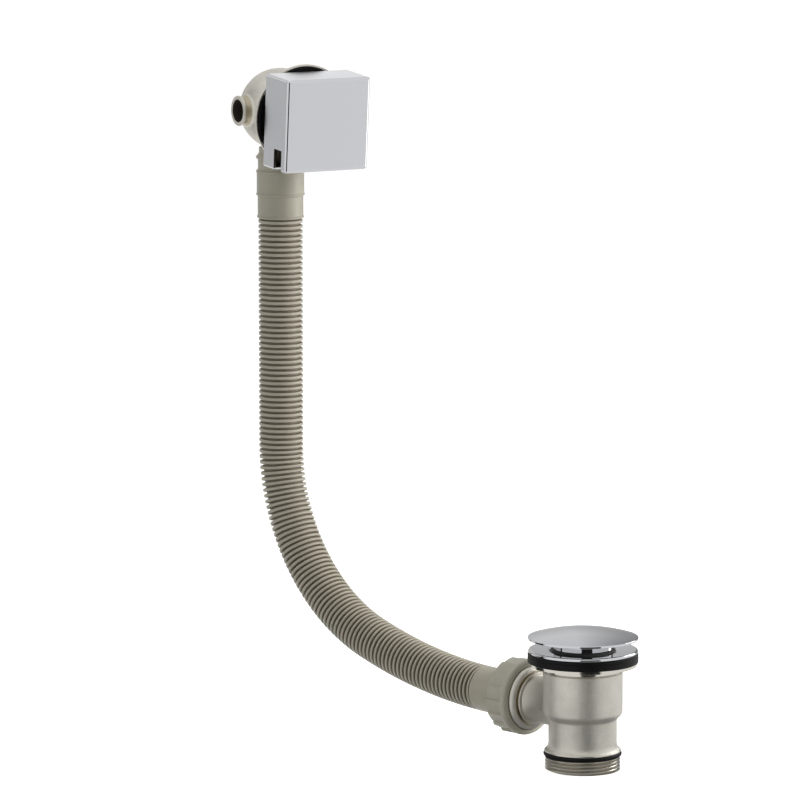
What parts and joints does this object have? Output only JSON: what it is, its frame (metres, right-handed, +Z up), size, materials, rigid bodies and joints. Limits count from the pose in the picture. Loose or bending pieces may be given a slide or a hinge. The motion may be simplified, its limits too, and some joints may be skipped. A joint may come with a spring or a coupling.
{
  "type": "bath waste and overflow",
  "caption": "Bath waste with a domed push plug, joined by a corrugated hose to a square overflow filler head that clamps to the bath wall.",
  "frame": {"origin": "centre of the waste flange's seat on the bath floor", "axes": "+Z up along the waste's axis, the overflow cover faces -Y, its pipe socket points to -X"},
  "size_m": [0.1462, 0.3276, 0.4349],
  "materials": {
    "chrome_plate": "bright chrome plate on brass",
    "nickel_casting": "satin nickel plate on a blasted brass casting",
    "brass": "turned brass",
    "spring_steel": "drawn wire",
    "black_rubber": "moulded",
    "beige_plastic": "moulded, matt",
    "white_plastic": "moulded"
  },
  "bodies": {
    "fitting": {"waste_flange": "chrome_plate", "cover": "chrome_plate", "waste_body": "nickel_casting", "overflow_body": "nickel_casting", "click_barrel": "brass", "barrel_bush": "brass", "clamp_plate": "nickel_casting", "fill_spigot": "nickel_casting", "click_spring": "spring_steel", "grub_screw": "spring_steel", "top_seal": "black_rubber", "bottom_seal": "black_rubber", "outlet_o_ring": "black_rubber", "union_washer": "black_rubber", "wall_gasket": "black_rubber", "face_gasket": "black_rubber", "union_nut": "beige_plastic", "hose": "beige_plastic", "hose_top_cuff": "beige_plastic", "slip_ring": "white_plastic", "spigot_washer": "white_plastic"},
    "plug": {"plug_cap": "chrome_plate", "plug_seal": "black_rubber", "plunger": "chrome_plate", "latch_ring": "brass"}
  },
  "joints": [
    {"name": "plug_slide", "type": "slide", "parent": "fitting", "child": "plug", "axis": [0, 0, 1], "range_m": [0, 0.0058], "stiffness_N_per_m": 200, "deforming": ["click_spring"]}
  ]
}
